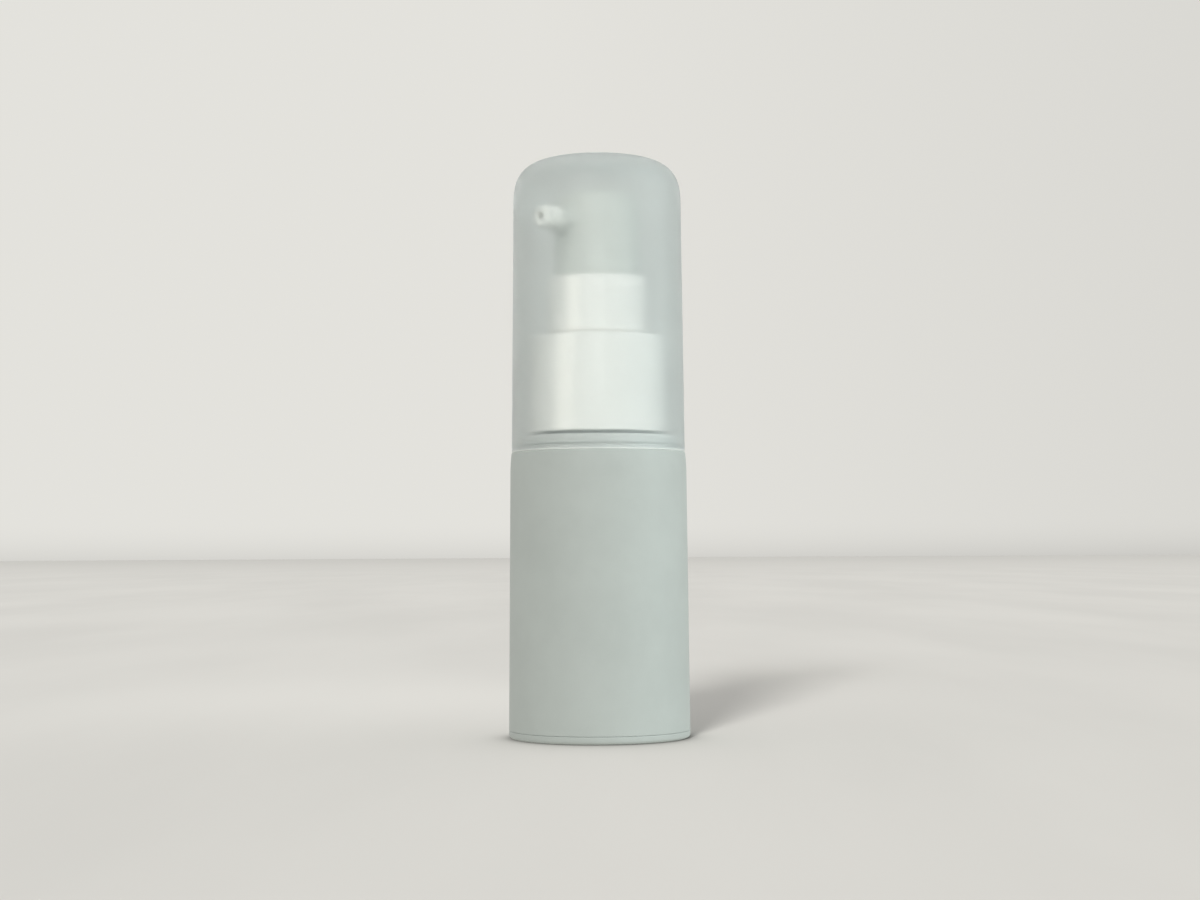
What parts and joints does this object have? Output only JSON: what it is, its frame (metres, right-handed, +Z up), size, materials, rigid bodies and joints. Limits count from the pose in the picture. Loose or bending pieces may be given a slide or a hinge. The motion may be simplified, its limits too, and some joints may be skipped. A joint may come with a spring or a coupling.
{
  "type": "airless pump bottle",
  "caption": "Small airless dispensing bottle: matte bottle with a follower piston, two-step white collar, push-button pump with a side spout, and a frosted domed over-cap.",
  "frame": {"origin": "centre of the ring that the bottle stands on, at its lowest plane", "axes": "+Z up along the bottle's axis; the spout points along -Y"},
  "size_m": [0.0344, 0.0344, 0.1108],
  "materials": {
    "frosted_cap": "frosted translucent polypropylene, pale sage",
    "sage_bottle": "opaque matte sage polypropylene",
    "sage_button": "opaque satin sage polypropylene",
    "white_sleeve": "satin white polypropylene",
    "white_moulding": "plain white polypropylene",
    "natural_pe": "milky natural polyethylene",
    "gasket_pe": "soft white foam seal",
    "spring_steel": "drawn stainless wire"
  },
  "bodies": {
    "bottle": {"bottle_body": "sage_bottle", "base_cap": "sage_bottle"},
    "cap": {"over_cap": "frosted_cap"},
    "follower": {"follower_piston": "natural_pe"},
    "pump": {"pump_housing": "natural_pe", "housing_cap": "white_moulding", "neck_gasket": "gasket_pe", "return_spring": "spring_steel"},
    "closure": {"screw_closure": "white_moulding", "collar_sleeve": "white_sleeve"},
    "stem": {"pump_stem": "natural_pe", "stem_plug": "white_moulding"},
    "piston": {"pump_piston": "natural_pe"},
    "button": {"actuator": "sage_button", "nozzle_insert": "white_moulding"},
    "ball": {"inlet_ball": "spring_steel"}
  },
  "joints": [
    {"name": "cap_lift", "type": "slide", "parent": "bottle", "child": "cap", "axis": [0, 0, 1], "range_m": [0, 0.06]},
    {"name": "follower_rise", "type": "slide", "parent": "bottle", "child": "follower", "axis": [0, 0, 1], "range_m": [0, 0.0394]},
    {"name": "pump_rise", "type": "slide", "parent": "bottle", "child": "pump", "axis": [0, 0, 1], "range_m": [0, 0.00375]},
    {"name": "closure_turn", "type": "hinge", "parent": "pump", "child": "closure", "pos_m": [0, 0, 0.07], "axis": [0, 0, 1], "range_deg": [0, 540]},
    {"name": "button_press", "type": "slide", "parent": "pump", "child": "stem", "axis": [0, 0, -1], "range_m": [0, 0.0043], "stiffness_N_per_m": 900, "springref_m": -0.0055, "deforming": ["return_spring"]},
    {"name": "button_swivel", "type": "hinge", "parent": "stem", "child": "button", "pos_m": [0, 0, 0.09], "axis": [0, 0, 1], "continuous": true},
    {"name": "piston_slip", "type": "slide", "parent": "stem", "child": "piston", "axis": [0, 0, 1], "range_m": [0, 0.0008]},
    {"name": "ball_rise", "type": "slide", "parent": "pump", "child": "ball", "axis": [0, 0, 1], "range_m": [0, 0.0008]}
  ],
  "couplings": [
    {"joint": "closure_turn", "follows": "pump_rise", "rad_per_m": 2513.3}
  ]
}
